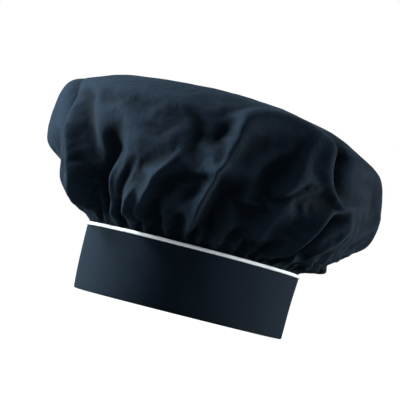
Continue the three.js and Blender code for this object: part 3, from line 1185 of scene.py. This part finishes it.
def add_floor(colours):
    """A wide floor of grey paper, which the camera sees glow to white away from the hat."""
    bpy.ops.mesh.primitive_circle_add(vertices=96, radius=14, fill_type="NGON")
    floor = bpy.context.active_object
    floor.name = "floor"
    below_rim = (0, 0, -0.0005)
    floor.data.transform(Matrix.Translation(below_rim))
    paper, tree, shader = new_material("Studio paper")
    shader.inputs["Base Color"].default_value = (*colours.floor, 1)
    shader.inputs["Roughness"].default_value = 0.9
    shader.inputs["Emission Color"].default_value = (1, 1, 1, 1)
    away = tree.nodes.new("ShaderNodeVectorMath")
    away.operation = "LENGTH"
    place = tree.nodes.new("ShaderNodeTexCoord")
    tree.links.new(place.outputs["Object"], away.inputs[0])
    far = tree.nodes.new("ShaderNodeMapRange")
    far.interpolation_type = "SMOOTHSTEP"
    for name, value in (("From Min", 0.15), ("From Max", 0.8), ("To Min", 0.86)):
        far.inputs[name].default_value = value
    tree.links.new(away.outputs["Value"], far.inputs["Value"])
    seen = tree.nodes.new("ShaderNodeLightPath").outputs["Is Camera Ray"]
    glow = maths(tree, "MULTIPLY", seen, far.outputs["Result"])
    tree.links.new(glow, shader.inputs["Emission Strength"])
    floor.data.materials.append(paper)


def white_world():
    """White for the camera, and nearly dark for the light that falls on the hat."""
    world = bpy.data.worlds.new("Studio white")
    world.use_nodes = True
    tree = world.node_tree
    sky = tree.nodes["Background"]
    sky.inputs["Color"].default_value = (1, 1, 1, 1)
    seen = tree.nodes.new("ShaderNodeLightPath").outputs["Is Camera Ray"]
    strength = maths(tree, "MULTIPLY_ADD", seen, 0.98, 0.02)
    tree.links.new(strength, sky.inputs["Strength"])
    return world


def place_camera(scene, right, near, up):
    """Points the camera at the hat and rolls it, so that the hat leans as in the picture."""
    view = scene.chef_hat.view
    back = near * math.cos(view.elevation) + up * math.sin(view.elevation)
    above = back.cross(right)
    target = above * 0.101 - right * 0.0062
    across = right * math.cos(view.roll) + above * math.sin(view.roll)
    upward = above * math.cos(view.roll) - right * math.sin(view.roll)
    lens = bpy.data.cameras.new("Camera")
    lens.sensor_width = 36
    lens.lens = lens.sensor_width * view.distance / view.width
    camera = bpy.data.objects.new("Camera", lens)
    scene.collection.objects.link(camera)
    turn = Matrix((across, upward, back)).transposed().to_4x4()
    camera.matrix_world = Matrix.Translation(target + back * view.distance) @ turn
    scene.camera = camera


class HAT_OT_set_stage(bpy.types.Operator):
    """Sets up the pale floor, the studio lights and the camera"""

    bl_idname = "hat.set_stage"
    bl_label = "Set the stage"

    def execute(self, context):
        scene = context.scene
        view = scene.chef_hat.view
        add_floor(scene.chef_hat.colours)
        scene.world = white_world()
        right = Vector((math.cos(view.azimuth), math.sin(view.azimuth), 0))
        near = Vector((math.sin(view.azimuth), -math.cos(view.azimuth), 0))
        up = Vector((0, 0, 1))
        for name, place, size, power, colour in LIGHTS:
            x, y, z = place
            add_light(name, AIM + right * x + near * y + up * z, AIM, size, power, colour)
        place_camera(scene, right, near, up)
        scene.view_settings.view_transform = "Standard"
        return {"FINISHED"}


class VIEW3D_PT_chef_hat(bpy.types.Panel):
    bl_label = "Chef's hat"
    bl_space_type = "VIEW_3D"
    bl_region_type = "UI"
    bl_category = "Chef's hat"

    def draw(self, context):
        layout = self.layout
        settings = context.scene.chef_hat
        for title, group in (
            ("Sizes", settings.sizes),
            ("Colours", settings.colours),
            ("View", settings.view),
        ):
            box = layout.box()
            box.label(text=title)
            for name in group.__annotations__:
                box.prop(group, name)
        for operator in OPERATORS:
            layout.operator(operator.bl_idname)


OPERATORS = (
    HAT_OT_sew_band,
    HAT_OT_cover_piping,
    HAT_OT_gather_crown,
    HAT_OT_bind_seam,
    HAT_OT_set_stage,
)
CLASSES = (HatSizes, HatColours, HatView, HatSettings, *OPERATORS, VIEW3D_PT_chef_hat)


def register():
    for cls in CLASSES:
        bpy.utils.register_class(cls)
    bpy.types.Scene.chef_hat = PointerProperty(type=HatSettings)


def unregister():
    del bpy.types.Scene.chef_hat
    for cls in reversed(CLASSES):
        bpy.utils.unregister_class(cls)


def main():
    register()
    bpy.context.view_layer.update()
    bpy.ops.hat.sew_band()
    bpy.ops.hat.cover_piping()
    bpy.ops.hat.gather_crown()
    bpy.ops.hat.bind_seam()
    bpy.ops.hat.set_stage()


if __name__ == "__main__":
    main()
